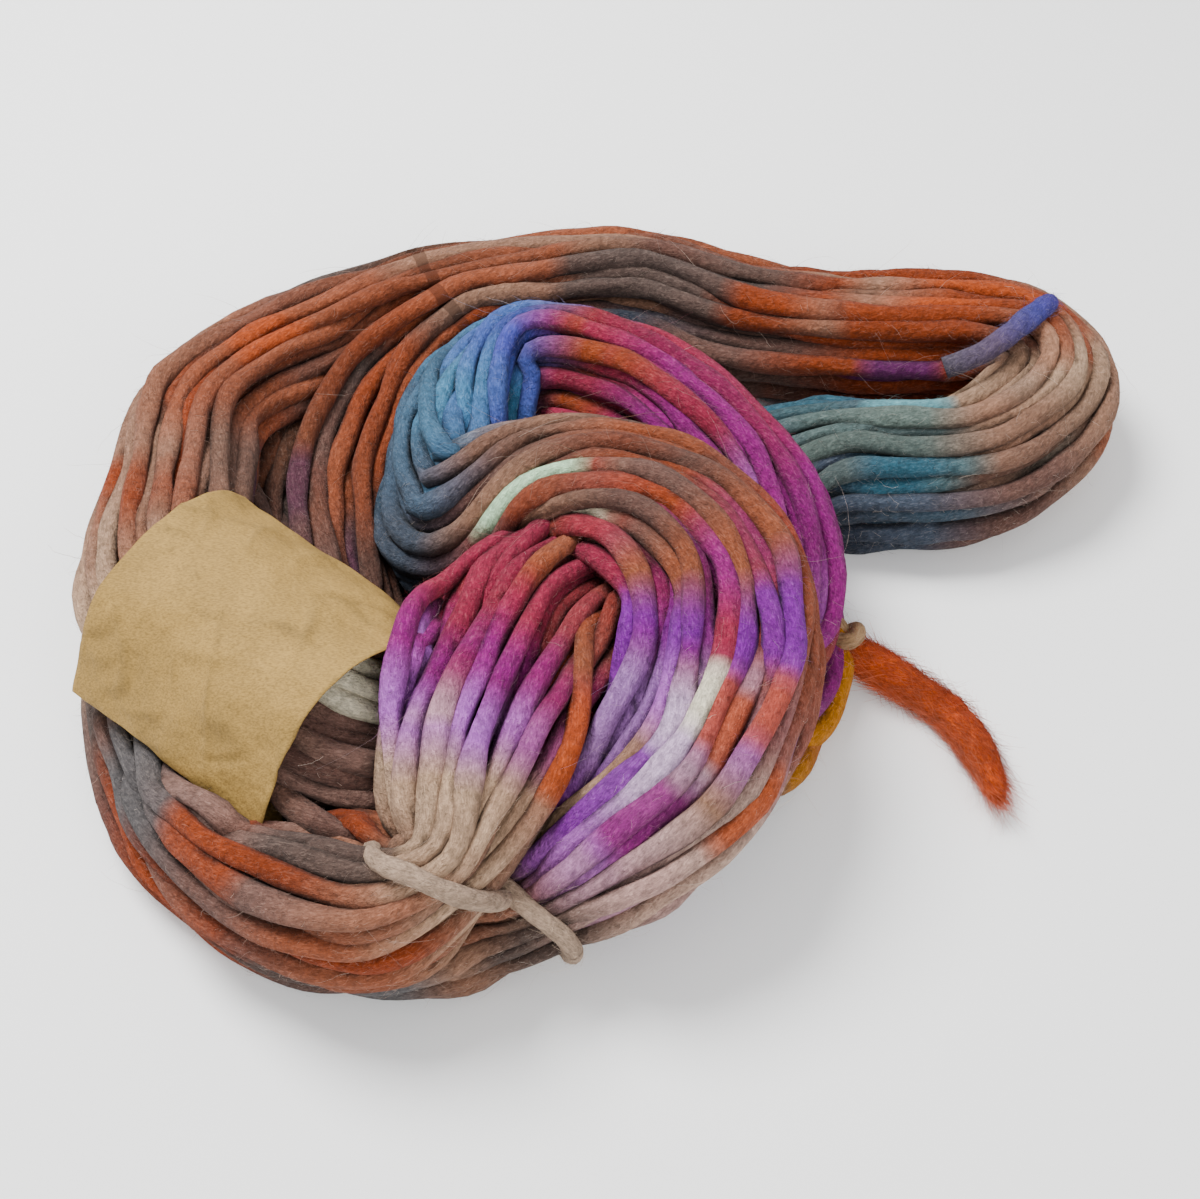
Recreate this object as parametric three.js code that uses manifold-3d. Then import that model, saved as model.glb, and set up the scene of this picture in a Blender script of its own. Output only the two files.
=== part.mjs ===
import * as THREE from 'three';
import { mergeVertices } from 'three/addons/utils/BufferGeometryUtils.js';
import Module from 'manifold-3d';

const wasm = await Module();
wasm.setup();

// driving sizes, in mm
const floorCut = 3.2;                // the underside is pressed flat here
const shift = { x: -3, y: -8.9, z: -floorCut };   // moves the middle of the base onto the origin
const ridgeCount = 12;               // strand ridges round a run
const ridgeDepth = 3;
const twistPerLength = 0.0011;       // main twist, radians a mm
const stationStep = 17;              // spacing of the sections along a run
const clearance = 0.35;              // between neighbouring pieces
const tieDiameter = 7;
const tailDiameter = 13;
const yarnDiameter = 8;
const paperThickness = 1.2;
const sleeve = { x: -105.5, y: -42, z: 50, length: 80, angle: -39, half: 40, rise: 31, drop: 15 };

// one row per section: name, centre x, y, z, width, height of the run
const mainRun = [
  ['topRun1', -60, 123, 30, 60, 50],
  ['topRun2', -26, 132, 28, 52, 50],
  ['topRun3', 15, 137, 27, 48, 50],
  ['topRun4', 52, 121, 27, 46, 48],
  ['topRun5', 93, 115, 26, 46, 48],
  ['topRun6', 132, 115, 26, 44, 48],
  ['topRun7', 155, 106, 26, 42, 48],
  ['lobeEnd', 159, 85, 26, 42, 48],
  ['lobeLow1', 136, 59, 26, 50, 48],
  ['lobeLow2', 106, 55, 25, 52, 46],
  ['lobeLow3', 76, 59, 21, 56, 40],
  ['underOrange', 48, 48, 18, 60, 34],
  ['pinkRise', 19, 20, 31, 56, 42],
  ['pinkTop', -11, -21, 56, 60, 42],
  ['pinkSide', -27, -57, 60, 66, 44],
  ['pinkLow', -37, -89, 56, 60, 44],
  ['tieOne', -46, -111, 48, 46, 44],
  ['lower1', -65, -117, 44, 54, 44],
  ['lower2', -89, -109, 40, 58, 46],
  ['lower3', -115, -86, 34, 56, 46],
  ['farIn1', -125, -51, 26, 48, 42],
  ['farIn2', -118, -14, 22, 44, 38],
  ['farIn3', -117, 18, 20, 40, 36],
  ['farTop', -140, 47, 20, 38, 36],
  ['farOut3', -155, 22, 20, 38, 36],
  ['farOut2', -151, -5, 20, 42, 36],
  ['farOut1', -145, -39, 19, 48, 34],
  ['foot1', -133, -68, 18, 52, 34],
  ['foot2', -114, -92, 18, 56, 32],
  ['foot3', -90, -106, 18, 52, 32],
  ['foot4', -64, -110, 18, 50, 32],
  ['foot5', -40, -111, 20, 52, 34],
  ['tieTwo', -17, -112, 28, 48, 38],
  ['rightFoot', 2, -100, 42, 54, 42],
  ['rightLower', 24, -80, 56, 62, 42],
  ['rightMid', 36, -53, 64, 64, 42],
  ['rightTop', 35, -21, 68, 62, 40],
  ['orangeBand2', 16, 5, 68, 58, 38],
  ['orangeBand1', -14, 21, 56, 48, 46],
  ['blueLow', -45, 27, 34, 42, 58],
  ['blueEnd', -50, 67, 36, 38, 60],
  ['blueTop', -28, 93, 40, 42, 52],
  ['magenta3', 7, 77, 46, 44, 46],
  ['magenta2', 35, 48, 50, 42, 44],
  ['magenta1', 55, 16, 42, 46, 42],
  ['rightSide', 56, -14, 28, 48, 44],
  ['rightLow', 40, -43, 22, 54, 40],
  ['underRight', 13, -55, 20, 62, 34],
  ['underPink', -19, -55, 20, 66, 34],
];
// through the sleeve to the outer side of the fan
const outerRun = [
  ['joinPinkOuter', 0, -55, 20, 40, 22],
  ['joinPinkOuter2', -22, -57, 22, 56, 28],
  ['underPinkOuter', -49, -60, 34, 74, 28],
  ['sleeveOut', -76, -62, 54, 76, 36],
  ['sleeveMid', -104, -41, 58, 76, 40],
  ['sleeveIn', -131, -13, 58, 70, 38],
  ['fanTurn', -133, 29, 52, 60, 36],
  ['fanOuter2', -129, 73, 42, 58, 36],
  ['fanOuter3', -100, 106, 34, 54, 42],
  ['joinTopOuter', -62, 130, 31, 46, 46],
  ['joinTopOuter2', -27, 135, 29, 34, 36],
];
// below the sleeve's mouth to the inner side of the fan
const innerRun = [
  ['joinPinkInner', 0, -54, 19, 40, 22],
  ['joinPinkInner2', -22, -54, 18, 54, 26],
  ['underPinkInner', -51, -50, 18, 56, 28],
  ['innerTurn', -76, -28, 17, 58, 28],
  ['innerFan1', -88, 6, 18, 64, 30],
  ['innerFan2', -95, 48, 20, 68, 34],
  ['innerFan3', -86, 89, 24, 56, 40],
  ['joinTopInner', -57, 114, 26, 42, 40],
  ['joinTopInner2', -25, 128, 27, 30, 32],
];
// the main run is swept in pieces that don't cross themselves
const splits = ['topRun6', 'lobeLow1', 'pinkRise', 'tieOne', 'lower3', 'farTop', 'foot2',
  'tieTwo', 'rightTop', 'blueLow', 'blueTop', 'magenta1', 'rightLow'];

const tail = [[82, -12, 20], [92, -14, 15], [103, -20, 10.8], [116, -31, 9.9], [125, -48, 9.9], [129, -66, 9.9]];
const yarnTip = [[121, 84, 47], [132, 86, 51], [143, 93, 54], [154, 103, 54.5], [163, 113, 51]];
const knot = { x: 79, y: -10, z: 20, wide: 15, deep: 17, tall: 17 };

// Catmull-Rom through rows of numbers, with the arc length kept in the last place
function spline(rows, steps) {
  const out = [];
  for (let i = 0; i + 1 < rows.length; i += 1) {
    const p1 = rows[i];
    const p2 = rows[i + 1];
    const p0 = rows[i - 1] ?? p1.map((v, k) => 2 * v - p2[k]);
    const p3 = rows[i + 2] ?? p2.map((v, k) => 2 * v - p1[k]);
    const last = i + 2 === rows.length ? steps : steps - 1;
    for (let s = 0; s <= last; s += 1) {
      const t = s / steps;
      out.push(p1.map((v, k) => 0.5 * (2 * v + (p2[k] - p0[k]) * t
        + (2 * p0[k] - 5 * v + 4 * p2[k] - p3[k]) * t * t
        + (3 * v - p0[k] - 3 * p2[k] + p3[k]) * t * t * t)));
    }
  }
  let run = 0;
  out.forEach((p, i) => {
    if (i) run += Math.hypot(p[0] - out[i - 1][0], p[1] - out[i - 1][1], p[2] - out[i - 1][2]);
    p.push(run);
  });
  return out;
}

function resample(points, step) {
  const total = points.at(-1).at(-1);
  const count = Math.max(2, Math.round(total / step));
  const out = [];
  let j = 0;
  for (let i = 0; i <= count; i += 1) {
    const s = total * i / count;
    while (j + 2 < points.length && points[j + 1].at(-1) < s) j += 1;
    const a = points[j];
    const b = points[j + 1];
    const t = Math.min(1, Math.max(0, (s - a.at(-1)) / (b.at(-1) - a.at(-1))));
    out.push(a.map((v, k) => v + (b[k] - v) * t));
  }
  return out;
}

// side and up of a run at point i, kept level
function frameAt(points, i) {
  const a = points[Math.max(0, i - 1)];
  const b = points[Math.min(points.length - 1, i + 1)];
  const along = new THREE.Vector3(b[0] - a[0], b[1] - a[1], b[2] - a[2]).normalize();
  const side = new THREE.Vector3().crossVectors(along, new THREE.Vector3(0, 0, 1)).normalize();
  const up = new THREE.Vector3().crossVectors(side, along).normalize();
  return { along, side, up };
}

// closed mesh from rings of equal count, with a fan on each end
function loft(rings, closedLoop = false) {
  const around = rings[0].length;
  const position = rings.flat(2);
  const index = [];
  const quads = closedLoop ? rings.length : rings.length - 1;
  for (let i = 0; i < quads; i += 1) {
    for (let j = 0; j < around; j += 1) {
      const a = i * around + j;
      const b = i * around + (j + 1) % around;
      const c = ((i + 1) % rings.length) * around + j;
      const d = ((i + 1) % rings.length) * around + (j + 1) % around;
      index.push(a, c, b, b, c, d);
    }
  }
  if (!closedLoop) {
    [[rings[0], 0, false], [rings.at(-1), (rings.length - 1) * around, true]].forEach(([ring, from, far]) => {
      const mid = [0, 1, 2].map((k) => ring.reduce((s, p) => s + p[k], 0) / around);
      const m = position.length / 3;
      position.push(...mid);
      for (let j = 0; j < around; j += 1) {
        const a = from + j;
        const b = from + (j + 1) % around;
        if (far) index.push(a, m, b);
        else index.push(a, b, m);
      }
    });
  }
  const geometry = new THREE.BufferGeometry();
  geometry.setAttribute('position', new THREE.Float32BufferAttribute(position, 3));
  geometry.setIndex(index);
  return geometry;
}

function toSolid(geometry) {
  const bare = geometry.clone();
  bare.deleteAttribute('normal');
  bare.deleteAttribute('uv');
  const merged = mergeVertices(bare, 1e-4);
  const make = (flip) => {
    const tri = Uint32Array.from(merged.index.array);
    if (flip) for (let i = 0; i < tri.length; i += 3) [tri[i], tri[i + 1]] = [tri[i + 1], tri[i]];
    return new wasm.Manifold(new wasm.Mesh({
      numProp: 3, vertProperties: Float32Array.from(merged.attributes.position.array), triVerts: tri,
    }));
  };
  const solid = make(false);
  return solid.volume() > 0 ? solid : make(true);
}

function toGeometry(solid) {
  const mesh = solid.getMesh();
  const geometry = new THREE.BufferGeometry();
  geometry.setAttribute('position', new THREE.Float32BufferAttribute(mesh.vertProperties, 3));
  geometry.setIndex(new THREE.Uint32BufferAttribute(mesh.triVerts, 1));
  geometry.computeVertexNormals();
  return geometry;
}

// ridged rings along a path
function ringsOf(points) {
  return points.map((p, i) => {
    const { side, up } = frameAt(points, i);
    const [x, y, z, wide, tall, start] = p;
    const ring = [];
    for (let j = 0; j < ridgeCount * 2; j += 1) {
      const turn = (j / (ridgeCount * 2)) * Math.PI * 2 + twistPerLength * start;
      const dip = j % 2 ? ridgeDepth : 0;
      const u = (wide / 2 - dip) * Math.cos(turn);
      const v = (tall / 2 - dip) * Math.sin(turn);
      ring.push([x + side.x * u + up.x * v, y + side.y * u + up.y * v, z + side.z * u + up.z * v]);
    }
    return ring;
  });
}

// a path swept in pieces that share their end rings, so no piece crosses itself
function sweepInPieces(path, splitAt) {
  const stations = resample(path, stationStep);
  const rings = ringsOf(stations);
  const marks = splitAt.map((length) => stations.findIndex((p) => p.at(-1) >= length));
  const ends = [0, ...marks, rings.length - 1];
  return ends.slice(1).map((end, i) => toSolid(loft(rings.slice(ends[i], end + 1))));
}

function tube(path, radiusAt, around = 10, inflate = 0) {
  const rings = path.map((p, i) => {
    const { side, up } = frameAt(path, i);
    const r = radiusAt(i / (path.length - 1)) + inflate;
    return Array.from({ length: around }, (_, j) => {
      const turn = (j / around) * Math.PI * 2;
      const u = r * Math.cos(turn);
      const v = r * Math.sin(turn);
      return [p[0] + side.x * u + up.x * v, p[1] + side.y * u + up.y * v, p[2] + side.z * u + up.z * v];
    });
  });
  return loft(rings);
}

// ring of yarn held round a run at one section
function tieRing(row, lean, inflate = 0) {
  const at = mainRun.findIndex((r) => r[0] === row);
  const points = mainRun.slice(at - 1, at + 2).map((r) => r.slice(1));
  const { along, side, up } = frameAt(points, 1);
  const [x, y, z, wide, tall] = points[1];
  const steps = 28;
  const r = tieDiameter / 2 + inflate;
  const rings = [];
  for (let i = 0; i < steps; i += 1) {
    const turn = (i / steps) * Math.PI * 2;
    const out = new THREE.Vector3().addScaledVector(side, Math.cos(turn) * (wide / 2 + 0.8))
      .addScaledVector(up, Math.sin(turn) * (tall / 2 + 0.8)).addScaledVector(along, lean * Math.sin(turn));
    const centre = new THREE.Vector3(x, y, z).add(out);
    const away = out.clone().normalize();
    rings.push(Array.from({ length: 10 }, (_, j) => {
      const a = (j / 10) * Math.PI * 2;
      const p = centre.clone().addScaledVector(away, Math.cos(a) * r).addScaledVector(along, Math.sin(a) * r);
      return [p.x, p.y, p.z];
    }));
  }
  return loft(rings, true);
}

// D-shaped section of the sleeve: flat below, arched above
function sleeveRing(along, grow) {
  const turn = THREE.MathUtils.degToRad(sleeve.angle);
  const dir = [Math.cos(turn), Math.sin(turn)];
  const lateral = [-dir[1], dir[0]];
  return Array.from({ length: 36 }, (_, j) => {
    const a = (j / 36) * Math.PI * 2;
    const u = Math.cos(a) * (sleeve.half + grow);
    const height = Math.sin(a) > 0 ? sleeve.rise : sleeve.drop;
    const v = Math.sin(a) * (height + grow);
    return [sleeve.x + dir[0] * along + lateral[0] * u, sleeve.y + dir[1] * along + lateral[1] * u, sleeve.z + v];
  });
}

function sleeveShell(inner, outer, extra) {
  const stations = [-1, -0.33, 0.33, 1].map((t) => t * (sleeve.length / 2 + extra));
  const far = [-1.2, 1.2].map((t) => t * (sleeve.length / 2 + extra));
  const whole = toSolid(loft(stations.map((s) => sleeveRing(s, outer))));
  return whole.subtract(toSolid(loft(far.map((s) => sleeveRing(s, inner)))));
}

function sphere(at, grow = 0) {
  const geometry = new THREE.SphereGeometry(0.5, 16, 10);
  geometry.scale(at.wide + grow * 2, at.deep + grow * 2, at.tall + grow * 2);
  geometry.translate(at.x, at.y, at.z);
  return geometry;
}

const rowsOf = (table) => table.map((r) => r.slice(1));
const mainPoints = rowsOf(mainRun);
const mainPath = spline(mainPoints, 8);
const splitLengths = splits.map((n) => mainPath[mainRun.findIndex((r) => r[0] === n) * 8].at(-1));
const pieces = sweepInPieces(mainPath, splitLengths);
[outerRun, innerRun].forEach((rows) => {
  const path = spline(rowsOf(rows), 8);
  pieces.push(...sweepInPieces(path, [path.at(-1).at(-1) * 0.5]));
});

const tailPath = resample(spline(tail, 6), 6).map((p) => p.slice(0, 3));
const tipPath = resample(spline(yarnTip, 6), 5).map((p) => p.slice(0, 3));
const tailRadius = (t) => tailDiameter / 2 * (t < 0.15 ? 0.75 + t * 1.6 : 1) * (t > 0.85 ? 1 - (t - 0.85) * 2.6 : 1);
const tipRadius = (t) => yarnDiameter / 2 * (t > 0.85 ? 1 - (t - 0.85) * 2.4 : 1);

let skein = pieces.reduce((sum, piece) => sum.add(piece));
const floor = new THREE.BoxGeometry(600, 600, 60);
floor.translate(0, 0, floorCut - 30);
[
  floor,
  tieRing('tieOne', 4, clearance),
  tieRing('tieTwo', 3, clearance),
  tube(tailPath, tailRadius, 10, clearance),
  tube(tipPath, tipRadius, 10, clearance),
  sphere(knot, clearance),
].forEach((cutter) => { skein = skein.subtract(toSolid(cutter)); });
skein = skein.subtract(sleeveShell(-clearance - 0.15, paperThickness + clearance, 0.5));
const lumps = skein.simplify(0.3).decompose().filter((s) => s.volume() > 0).sort((a, b) => b.volume() - a.volume());
[skein] = lumps;

const tailSolid = toSolid(tube(tailPath, tailRadius)).subtract(toSolid(sphere(knot, clearance)));
const items = [
  ['skein', skein, 0xb5705a],
  ['tie_left', toSolid(tieRing('tieOne', 4)), 0xbfa28c],
  ['tie_right', toSolid(tieRing('tieTwo', 3)), 0xb8a08c],
  ['label_band', sleeveShell(0, paperThickness, 0), 0xc8af82],
  ['tail_knot', toSolid(sphere(knot)), 0xc9a878],
  ['tail_end', tailSolid, 0xc0622c],
  ['yarn_end', toSolid(tube(tipPath, tipRadius)), 0x6a5a9a],
];

const group = new THREE.Group();
items.forEach(([name, solid, color]) => {
  const geometry = toGeometry(solid);
  geometry.translate(shift.x, shift.y, shift.z);
  const mesh = new THREE.Mesh(geometry, new THREE.MeshStandardMaterial({ color, roughness: 0.95 }));
  mesh.name = name;
  group.add(mesh);
});
export default group;
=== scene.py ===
import bpy
import bmesh
import math
import numpy as np
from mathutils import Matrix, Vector, noise
from mathutils.bvhtree import BVHTree


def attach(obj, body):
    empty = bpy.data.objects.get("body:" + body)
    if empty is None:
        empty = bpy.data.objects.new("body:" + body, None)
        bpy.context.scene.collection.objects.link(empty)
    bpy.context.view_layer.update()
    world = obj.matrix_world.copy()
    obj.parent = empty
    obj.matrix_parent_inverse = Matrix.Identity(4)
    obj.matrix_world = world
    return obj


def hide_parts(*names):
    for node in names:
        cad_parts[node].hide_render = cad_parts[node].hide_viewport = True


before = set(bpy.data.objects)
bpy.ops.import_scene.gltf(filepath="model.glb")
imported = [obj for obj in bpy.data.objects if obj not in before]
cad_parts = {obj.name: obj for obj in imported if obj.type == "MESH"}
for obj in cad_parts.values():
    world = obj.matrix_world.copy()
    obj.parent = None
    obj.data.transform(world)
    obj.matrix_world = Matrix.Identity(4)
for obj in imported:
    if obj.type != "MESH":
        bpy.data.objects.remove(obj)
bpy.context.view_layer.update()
mm = 0.001

# the tables below are in mm in the drawing's own frame; the base is pressed flat and set on z = 0
placing = {"x": -3.0, "y": -8.9, "z": -3.2}


def placed(points):
    return (np.asarray(points, float) + [placing["x"], placing["y"], placing["z"]]) * mm


def linear(hexText):
    channels = [int(hexText[i:i + 2], 16) / 255 for i in (1, 3, 5)]
    return tuple(c / 12.92 if c <= 0.04045 else ((c + 0.055) / 1.055) ** 2.4 for c in channels)


def addNode(tree, kind, links=None, **settings):
    node = tree.nodes.new(kind)
    for name, value in settings.items():
        setattr(node, name, value)
    for name, source in (links or {}).items():
        if isinstance(source, bpy.types.NodeSocket):
            tree.links.new(source, node.inputs[name])
        else:
            node.inputs[name].default_value = source
    return node


def startMaterial(name, **values):
    made = bpy.data.materials.new(name)
    made.use_nodes = True
    tree = made.node_tree
    shader = tree.nodes["Principled BSDF"]
    for socket, value in values.items():
        shader.inputs[socket.replace("_", " ")].default_value = value
    return made, tree, shader


def readArray(items, name, kind, width=1):
    flat = np.empty(len(items) * width, kind)
    items.foreach_get(name, flat)
    return flat.reshape(-1, width) if width > 1 else flat


# the eye looks down at 55 degrees, as the photo does
camera = {"elevation": 55.0, "distance": 560.0, "aim": (0.0, 0.0, 25.0), "lens": 50.4}


def makeCamera():
    tilt = math.radians(camera["elevation"])
    forward = np.array([0, math.cos(tilt), -math.sin(tilt)])
    data = bpy.data.cameras.new("photoCamera")
    data.sensor_width = 36
    data.sensor_fit = "HORIZONTAL"
    data.lens = camera["lens"]
    data.clip_start = 0.01
    data.clip_end = 20
    eye = bpy.data.objects.new("photoCamera", data)
    eye.location = placed(np.array(camera["aim"]) - camera["distance"] * forward)
    eye.rotation_euler = (math.radians(90 - camera["elevation"]), 0, 0)
    bpy.context.scene.collection.objects.link(eye)
    bpy.context.scene.camera = eye


makeCamera()
print("camera ready")

# the hank's runs, one row per section: name, centre x, y, z, width, height, then the dyes seen
# on its left, middle and right looking along the run, a stray dye and how often it shows
mainRun = [
    ("topRun1", -60, 124, 31, 60, 52, "brown", "terracotta", "rust", "tan", 0.24),
    ("topRun2", -26, 134, 30, 54, 52, "terracotta", "terracotta", "mauveBrown", "tan", 0.21),
    ("topRun3", 15, 139, 29, 50, 52, "terracotta", "mauveBrown", "slateDark", "tan", 0.17),
    ("topRun4", 52, 124, 29, 50, 50, "terracotta", "greyBrown", "mauveBrown", "rust", 0.21),
    ("topRun5", 93, 119, 28, 50, 50, "rust", "rust", "rust", "tan", 0.2),
    ("topRun6", 133, 118, 28, 50, 50, "rust", "rust", "rust", "orange", 0.17),
    ("topRun7", 158, 108, 28, 46, 50, "tan", "terracotta", "greyBrown", "rust", 0.21),
    ("lobeEnd", 163, 85, 27, 44, 50, "tan", "beige", "tan", "terracotta", 0.21),
    ("lobeLow1", 136, 59, 26, 50, 48, "mauveBrown", "tan", "beige", "sage", 0.21),
    ("lobeLow2", 106, 55, 25, 52, 46, "slate", "sage", "steelBlue", "teal", 0.21),
    ("lobeLow3", 76, 59, 21, 56, 40, "slateDark", "sage", "teal", "slate", 0.21),
    ("underOrange", 48, 48, 18, 60, 34, "slateDark", "slate", "teal", "sage", 0.21),
    ("pinkRise", 15, 18, 33, 60, 42, "terracotta", "rose", "rose", "rust", 0.17),
    ("pinkTop", -15, -21, 56, 66, 40, "rust", "rose", "rose", "terracotta", 0.21),
    ("pinkMid", -24, -41, 59, 69, 41, "terracotta", "rose", "rose", "rust", 0.17),
    ("pinkSide", -31, -61, 60, 70, 42, "rose", "magenta", "magenta", "rose", 0.2),
    ("pinkFade", -36, -77, 59, 66, 43, "rust", "lilac", "lilac", "beige", 0.14),
    ("pinkLow", -40, -92, 55, 52, 44, "tan", "beige", "beige", "tan", 0.1),
    ("tieOne", -45, -111, 48, 31, 46, "beige", "beige", "tan", "tan", 0.2),
    ("lower1", -64, -118, 42, 47, 44, "terracotta", "tan", "terracotta", "rust", 0.2),
    ("lower2", -87, -105, 36, 55, 42, "mauveBrown", "mauve", "greyBrown", "rust", 0.24),
    ("lower3", -109, -81, 27, 57, 38, "ash", "mauve", "ash", "terracotta", 0.24),
    ("farIn1", -122, -50, 20, 50, 34, "ash", "ash", "greyBrown", "terracotta", 0.2),
    ("farIn2", -118, -14, 18, 46, 32, "greyBrown", "mauveBrown", "greyBrown", "tan", 0.21),
    ("farIn3", -118, 26, 19, 40, 34, "mauveBrown", "mauveBrown", "greyBrown", "tan", 0.21),
    ("farTop", -145, 61, 20, 38, 36, "mauveBrown", "tan", "tan", "rust", 0.21),
    ("farOut3", -157, 27, 20, 38, 36, "tan", "beige", "mauveBrown", "beige", 0.21),
    ("farOut2", -151, -5, 20, 42, 36, "beige", "beige", "beige", "greyBrown", 0.21),
    ("farOut1", -143, -38, 19, 46, 34, "ash", "greyBrown", "greyBrown", "mauve", 0.2),
    ("foot1", -128, -66, 18, 50, 34, "ash", "mauve", "rust", "ash", 0.2),
    ("foot2", -109, -88, 18, 50, 32, "mauve", "mauveBrown", "rust", "rust", 0.2),
    ("foot3", -87, -102, 18, 50, 32, "greyBrown", "mauveBrown", "greyBrown", "rust", 0.2),
    ("foot4", -64, -107, 18, 50, 32, "mauveBrown", "ash", "ash", "rust", 0.2),
    ("foot5", -40, -109, 20, 50, 34, "tan", "rust", "tan", "beige", 0.21),
    ("tieTwo", -23, -110, 25, 35, 32, "beige", "tan", "greyBrown", "rust", 0.2),
    ("rightFoot", 2, -99, 42, 48, 42, "violet", "lilac", "beige", "beige", 0.14),
    ("rightLower", 20, -85, 54, 61, 42, "violet", "paleLilac", "beige", "tan", 0.2),
    ("rightPale", 30, -68, 60, 63, 42, "violet", "paleLilac", "terracotta", "lilac", 0.2),
    ("rightMid", 37, -46, 65, 64, 42, "violet", "rose", "terracotta", "violet", 0.2),
    ("rightTop", 34, -20, 68, 62, 40, "rose", "magenta", "rust", "terracotta", 0.2),
    ("orangeBand2", 16, 5, 68, 58, 38, "rose", "rust", "terracotta", "mauveBrown", 0.21),
    ("orangeBand1", -14, 21, 56, 50, 44, "rust", "mauveBrown", "tan", "tan", 0.14),
    ("blueLow", -49, 22, 32, 46, 54, "slate", "steelBlue", "skyBlue", "slate", 0.21),
    ("blueEnd", -48, 65, 35, 44, 56, "steelBlue", "skyBlue", "periwinkle", "skyBlue", 0.24),
    ("blueTop", -27, 93, 39, 44, 50, "skyBlue", "periwinkle", "denim", "denim", 0.24),
    ("magenta3", 7, 77, 46, 44, 46, "rose", "rose", "rose", "rust", 0.1),
    ("magenta2", 35, 48, 50, 42, 44, "rose", "magenta", "magenta", "rose", 0.21),
    ("magenta1", 55, 16, 42, 46, 42, "magenta", "magenta", "magenta", "lilac", 0.21),
    ("rightSide", 56, -14, 28, 48, 44, "magenta", "lilac", "lilac", "rose", 0.21),
    ("rightLow", 40, -43, 22, 54, 40, "slate", "greyBrown", "tan", "mustard", 0.14),
    ("underRight", 13, -55, 20, 62, 34, "slate", "greyBrown", "mauveBrown", "cream", 0.14),
    ("underPink", -19, -55, 20, 66, 34, "greyBrown", "mauveBrown", "mauveBrown", "cream", 0.14),
]
# through the sleeve to the outer side of the fan
outerRun = [
    ("underPinkOuter", -49, -60, 34, 74, 28, "mauveBrown", "mauve", "tan", "mauve", 0.25),
    ("sleeveOut", -76, -62, 54, 76, 36, "mauveBrown", "mauve", "tan", "mauve", 0.25),
    ("sleeveMid", -104, -41, 58, 76, 40, "tan", "tan", "mauveBrown", "beige", 0.21),
    ("sleeveIn", -131, -13, 58, 70, 38, "beige", "terracotta", "tan", "tan", 0.21),
    ("fanTurn", -137, 30, 52, 58, 36, "tan", "tan", "mauveBrown", "rust", 0.24),
    ("fanOuter2", -136, 71, 44, 54, 38, "tan", "terracotta", "terracotta", "rust", 0.25),
    ("fanOuter3", -106, 105, 35, 52, 44, "greyBrown", "terracotta", "terracotta", "mauveBrown", 0.25),
]
# below the sleeve's mouth to the inner side of the fan
innerRun = [
    ("underPinkInner", -51, -50, 18, 56, 28, "mauveBrown", "mauveBrown", "greyBrown", "cream", 0.14),
    ("innerTurn", -76, -28, 17, 58, 28, "mauveBrown", "mauveBrown", "greyBrown", "tan", 0.14),
    ("innerFan1", -86, 6, 20, 68, 32, "mauveBrown", "mauveBrown", "brown", "dusk", 0.14),
    ("innerFan2", -92, 48, 24, 72, 36, "brown", "terracotta", "rust", "mauveBrown", 0.17),
    ("innerFan3", -82, 88, 27, 62, 42, "brown", "rust", "terracotta", "greyBrown", 0.21),
]
# how far the packing of the turns has rolled round at a section, in degrees
rolls = {
    "orangeBand2": 15, "orangeBand1": 50, "blueLow": 90, "blueEnd": 130, "blueTop": 160,
    "magenta3": 178, "magenta2": 180, "magenta1": 180, "rightSide": 180, "rightLow": 120,
    "underRight": 45,
}
# where the turns lie looser than usual, as a share of the section
loose = {"orangeBand1": 0.2, "blueLow": 0.32, "blueEnd": 0.34, "blueTop": 0.28, "pinkTop": 0.16}
dyes = {
    "rust": "#7E3210", "terracotta": "#80432A", "tan": "#86624E", "mauveBrown": "#5C4038",
    "greyBrown": "#4A3D38", "orange": "#9A4016", "brown": "#472A1C", "beige": "#A88A70",
    "cream": "#D8D0B4", "mint": "#A8CCA8", "sage": "#54625C", "slate": "#38414E",
    "slateDark": "#262C38", "teal": "#285262", "paleTeal": "#5C949C", "steelBlue": "#3C5064",
    "skyBlue": "#427A9C", "denim": "#324082", "periwinkle": "#4448A4", "purple": "#501A50",
    "dusk": "#4A2838", "mauve": "#78594F", "ash": "#545050", "violet": "#6C1082",
    "lilac": "#9C52AA", "paleLilac": "#B89CBC", "magenta": "#780C62", "rose": "#841C38",
    "mustard": "#AC6C0C",
}
# where a few turns are dyed apart: x, y, z of the spot, the dye, how far it runs along the turn
# in mm and how many turns take it
accents = [
    (-22, 9, 72, "mint", 19, 1), (-14, 3, 68, "cream", 20, 1), (109, 94, 31, "purple", 15, 2),
    (107, 72, 42, "paleTeal", 16, 2), (-118, 92, 55, "orange", 14, 2), (-106, 39, 47, "dusk", 12, 2),
    (-66, -54, 68, "cream", 20, 1), (-68, -63, 68, "cream", 20, 2), (-6, -84, 66, "orange", 18, 1),
    (30, -70, 79, "cream", 12, 1), (39, -79, 77, "orange", 12, 2), (53, -76, 75, "orange", 12, 1),
    (55, -46, 80, "violet", 14, 2), (11, -102, 66, "magenta", 12, 2), (1, -94, 66, "violet", 16, 1),
    # the greyBrown spot at -75, -105, 63 is partly painted shade: it gives two turns there a grey-brown dye
    # and darkens them where they lie in shade
    (40, -100, 61, "orange", 14, 1), (-121, -98, 53, "rust", 20, 2), (-75, -105, 63, "greyBrown", 18, 2),
    (-141, -77, 40, "ash", 18, 3), (147, 126, 44, "orange", 20, 2), (15, 122, 52, "greyBrown", 34, 3),
]
# innerTurns of the turns take the inner run; a turn's drawn radius is more than its contact
# radius, because wool sinks into its neighbours
yarn = {
    "turns": 56, "innerTurns": 25, "diameter": 7.3, "contact": 2.9, "points": 430, "perRow": 8,
    "wander": 0.15, "sides": 10, "seed": 7, "thick": 0.15, "lump": 0.18, "kink": 0.95,
    "packing": 0.87, "tightest": 0.66,
}
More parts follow.
